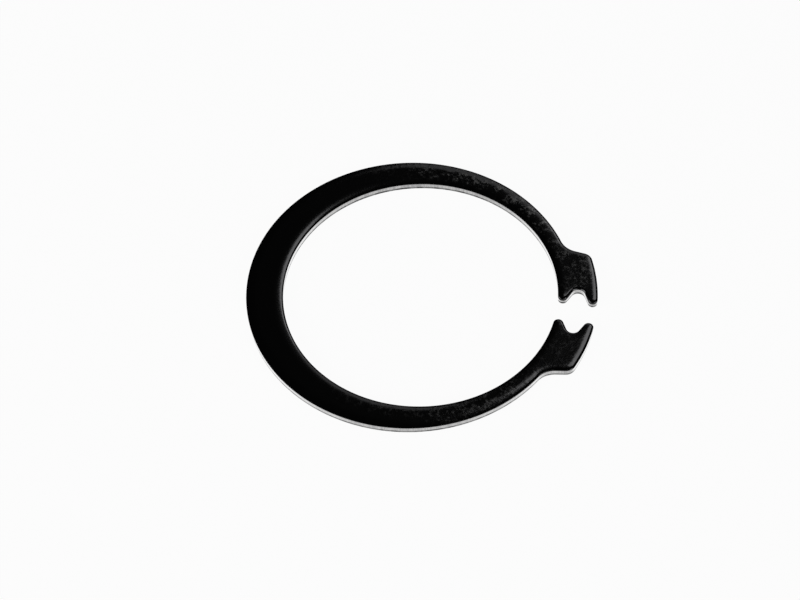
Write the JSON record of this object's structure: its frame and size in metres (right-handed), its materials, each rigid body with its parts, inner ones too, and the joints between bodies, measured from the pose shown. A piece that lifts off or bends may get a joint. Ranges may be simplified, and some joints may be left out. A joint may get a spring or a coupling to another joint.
{
  "type": "external circlip",
  "caption": "Flat, eccentric retaining ring of blackened spring steel, open between its lugs, whose ends are notched for circlip pliers.",
  "frame": {"origin": "centre of the bore, in the plane of the underside that the ring lies on", "axes": "+Z along the bore, from the sharp-edged underside to the upper face with the rolled-over edge; +X from the bore's centre through the middle of the gap; +Y completes the right-handed frame"},
  "size_m": [0.0585, 0.0546, 0.0015],
  "materials": {
    "blackened_spring_steel": "oiled black oxide on the faces and the rolled edge, bright sheared steel on the walls"
  },
  "bodies": {
    "root": {"circlip": "blackened_spring_steel"}
  },
  "joints": []
}
